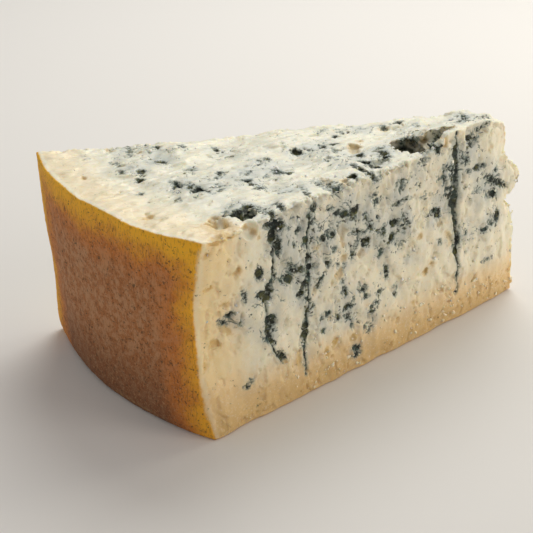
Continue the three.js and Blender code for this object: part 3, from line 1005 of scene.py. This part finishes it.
def rind_colour(net, at, rind, grain):
    """Gold by the cuts, rusty, then brown and dusty away from them, with dark specks."""
    dust = net.noise(at.place, 3.4, 5, 0.7)
    weave = net.noise(net.scaled(at.place, (1, 1, 0.3)), 0.7, 3, 0.65)
    from_cut = net.times_plus(dust, -7 * MM, net.times_plus(at.patch, -18 * MM, at.rim))
    by_cut = net.step(from_cut, -12 * MM, 2.5 * MM, 1, 0)
    rusty = net.step(from_cut, -3 * MM, 12 * MM, 1, 0)
    golden = net.times(by_cut, net.step(at.height, 15 * MM, 70 * MM, 0.8))
    frost = net.times_plus(by_cut, -0.4, 0.55)
    crowd = net.times_plus(by_cut, -0.03, net.step(dust, 0.36, 0.62, 0.035, -0.03))
    specks = net.math("ADD", net.noise(at.place, 1.1, 3, 0.65), crowd)
    return net.layers(
        rind.brown,
        (net.step(dust, 0.42, 0.6, 0.1, 0.75), rind.bloom),
        (net.step(at.height, 2 * MM, 34 * MM, 0.7, 0), rind.foot),
        (net.times(rusty, 0.75), rind.rust),
        (golden, rind.gold),
        (net.times(net.step(grain, 0.5, 0.66), frost), rind.bloom),
        (net.step(weave, 0.5, 0.68, 0, 0.45), rind.foot),
        (net.step(specks, 0.575, 0.66, 0, 0.8), rind.speck),
    )


def cheese_material():
    """Paste, mould and rind in one material, told apart by the marks on the mesh."""
    paste, rind = bpy.context.scene.cheese_paste, bpy.context.scene.cheese_rind
    material, shader, net = new_material("cheese")
    at = read_marks(net)
    grain = net.noise(at.place, 0.8, 4, 0.7)
    colour, dark = add_mould(net, at, paste, paste_colour(net, at, paste))
    uneven_skin = net.times_plus(net.minus(at.mottle, 0.5), 0.8 * MM, at.skin)
    is_paste = net.step(uneven_skin, 0.6 * rind.thickness, 1.2 * rind.thickness)
    colour = net.blend(is_paste, rind_colour(net, at, rind, grain), colour)
    rough = net.times_plus(dark, 0.3, net.times_plus(at.mottle, -0.4, 0.56))
    rough = net.times_plus(is_paste, net.minus(rough, RIND_ROUGHNESS), RIND_ROUGHNESS)
    scatter = net.times(net.times_plus(dark, -0.85, 1), net.times_plus(is_paste, 0.5, 0.1))
    bumps = net.times_plus(grain, 0.5, net.noise(at.place, 0.45, 3, 0.6))
    feeds = {
        "Base Color": colour,
        "Roughness": rough,
        "Specular IOR Level": 0.45,
        "Subsurface Weight": scatter,
        "Subsurface Radius": (1, 0.8, 0.5),
        "Subsurface Scale": 1.5 * MM,
        "Normal": net.node("ShaderNodeBump", {"Strength": 0.5, "Distance": 0.26 * MM, "Height": bumps}),
    }
    net.fill(shader, feeds)
    return material


# ---- the crumbs


def crumb_chances(wedge, points, normals):
    """How likely a crumb is at each vertex: mostly low on the sides, and along the edges."""
    height, depth = points[:, 2], rind_depth(points)
    near, far = normals @ np.array(OUT_OF_NEAR), normals @ np.array(OUT_OF_FAR)
    edge = np.zeros(len(points), np.float32)
    wedge.attributes["edge"].data.foreach_get("value", edge)
    side = np.maximum(near, far) > 0.5
    low = smooth_step(height, 30 * MM, 10 * MM) * smooth_step(depth, 20 * MM, 50 * MM)
    chance = np.where(side, 0.25 + 3.5 * low, 0.12) + 0.5 * edge
    chance *= (depth > 2 * MM) * (height > 1.5 * MM)
    return chance / chance.sum()


def make_crumbs():
    """Small crumbs of paste, half sunk into the cut faces where the knife has dragged them."""
    settings = bpy.context.scene.cheese_crumbs
    wedge = bpy.data.objects["wedge"].data
    rng = np.random.default_rng(CRUMBS_SEED)
    points, normals = places(wedge), read_vectors(wedge.vertex_normals, "vector")
    chances = crumb_chances(wedge, points, normals)
    blobs = Blobs(subdivisions=2, amount=0.9)
    count = settings.count
    for i in rng.choice(len(points), count, replace=False, p=chances):
        width = settings.size / MM * rng.lognormal(0, 0.35)
        size = width * rng.uniform(0.6, 1.3, 3)
        turn = Euler(rng.uniform(0, math.tau, 3)).to_matrix()
        blobs.add(points[i] + normals[i] * width * rng.uniform(-0.15, 0.3) * MM, size, turn)
    piece = new_piece("crumbs", blobs.mesh("crumbs"))
    pick(piece)
    bpy.ops.object.shade_smooth()
    piece.data.materials.append(crumb_material())
    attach(piece, "root")


def crumb_material():
    paste = bpy.context.scene.cheese_paste
    material, shader, net = new_material("crumbs")
    place = net.node("ShaderNodeTexCoord", None, "Object")
    height = net.node("ShaderNodeSeparateXYZ", {0: place}, 2)
    tone = net.noise(place, 3, 3, 0.6)
    colour = net.blend(net.step(height, 6 * MM, 30 * MM, 0.6, 0.1), CRUMB_WHITE, paste.straw)
    colour = net.blend(net.step(tone, 0.56, 0.66, 0, 0.7), colour, paste.haze)
    feeds = {
        "Base Color": colour,
        "Roughness": net.times_plus(tone, 0.4, 0.15),
        "Subsurface Weight": 0.5,
        "Subsurface Radius": (1, 0.7, 0.4),
        "Subsurface Scale": 1.2 * MM,
    }
    net.fill(shader, feeds)
    return material


# ---- the stage


def make_floor(settings):
    deselect_all()
    bpy.ops.mesh.primitive_plane_add(size=FLOOR_SIZE, location=(0, 0, -FLOOR_DROP))
    floor = bpy.context.object
    floor.name = "floor"
    material, shader, net = new_material("floor")
    net.fill(shader, {"Base Color": settings.floor, "Roughness": 0.8, "Specular IOR Level": 0.2})
    floor.data.materials.append(material)


def add_light(name, place, size, power, colour):
    bpy.ops.object.light_add(type="AREA", location=place)
    light = bpy.context.object
    light.name = name
    light.data.shape = "DISK"
    light.data.size = size
    light.data.energy = power
    light.data.color = colour
    light.rotation_euler = (Vector(MIDDLE) - Vector(place)).to_track_quat("-Z", "Y").to_euler()


def make_stage():
    settings = bpy.context.scene.cheese_stage
    make_floor(settings)
    for name, (place, size, colour) in LIGHTS.items():
        add_light(name, place, size, getattr(settings, name + "_power"), colour)

    world = bpy.data.worlds.new("studio")
    world.use_nodes = True
    world.node_tree.nodes["Background"].inputs["Color"].default_value = (1, 1, 1, 1)
    world.node_tree.nodes["Background"].inputs["Strength"].default_value = settings.sky
    bpy.context.scene.world = world
    bpy.context.scene.view_settings.view_transform = "Standard"

    bpy.ops.object.camera_add(location=CAMERA_PLACE)
    camera = bpy.context.object
    camera.name = "camera"
    camera.data.lens = settings.lens
    camera.data.sensor_width = SENSOR_WIDTH
    camera.data.clip_start = 10 * MM
    camera.rotation_mode = "QUATERNION"
    look = Euler((CAMERA_PITCH, 0, CAMERA_TURN)).to_quaternion()
    camera.rotation_quaternion = look @ Euler((0, 0, CAMERA_ROLL)).to_quaternion()
    bpy.context.scene.camera = camera


# ---- operators and panel


class CHEESE_OT_wedge(bpy.types.Operator):
    """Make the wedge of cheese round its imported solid"""

    bl_idname = "cheese.wedge"
    bl_label = "Wedge"

    def execute(self, context):
        make_wedge()
        return {"FINISHED"}


class CHEESE_OT_crumbs(bpy.types.Operator):
    """Scatter crumbs of paste over the cut faces of the wedge"""

    bl_idname = "cheese.crumbs"
    bl_label = "Crumbs"

    def execute(self, context):
        make_crumbs()
        return {"FINISHED"}


class CHEESE_OT_stage(bpy.types.Operator):
    """Make the floor, the lights and the camera"""

    bl_idname = "cheese.stage"
    bl_label = "Stage"

    def execute(self, context):
        make_stage()
        return {"FINISHED"}


class CHEESE_PT_panel(bpy.types.Panel):
    """The makers and their settings"""

    bl_idname = "CHEESE_PT_panel"
    bl_label = "Blue cheese wedge"
    bl_space_type = "VIEW_3D"
    bl_region_type = "UI"
    bl_category = "Cheese"

    def draw(self, context):
        scene = context.scene
        for group in (scene.cheese_paste, scene.cheese_rind, scene.cheese_crumbs, scene.cheese_stage):
            box = self.layout.box()
            for key in group.__annotations__:
                box.prop(group, key)
        for maker in OPERATORS:
            self.layout.operator(maker.bl_idname)


SETTINGS = {
    "cheese_paste": PasteSettings,
    "cheese_rind": RindSettings,
    "cheese_crumbs": CrumbSettings,
    "cheese_stage": StageSettings,
}
OPERATORS = (CHEESE_OT_wedge, CHEESE_OT_crumbs, CHEESE_OT_stage)
CLASSES = (*SETTINGS.values(), *OPERATORS, CHEESE_PT_panel)


def register():
    for made in CLASSES:
        bpy.utils.register_class(made)
    for name, group in SETTINGS.items():
        setattr(bpy.types.Scene, name, PointerProperty(type=group))


def unregister():
    for name in SETTINGS:
        delattr(bpy.types.Scene, name)
    for made in reversed(CLASSES):
        bpy.utils.unregister_class(made)


def main():
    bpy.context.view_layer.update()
    register()
    bpy.ops.cheese.wedge()
    bpy.ops.cheese.crumbs()
    bpy.ops.cheese.stage()


if __name__ == "__main__":
    main()
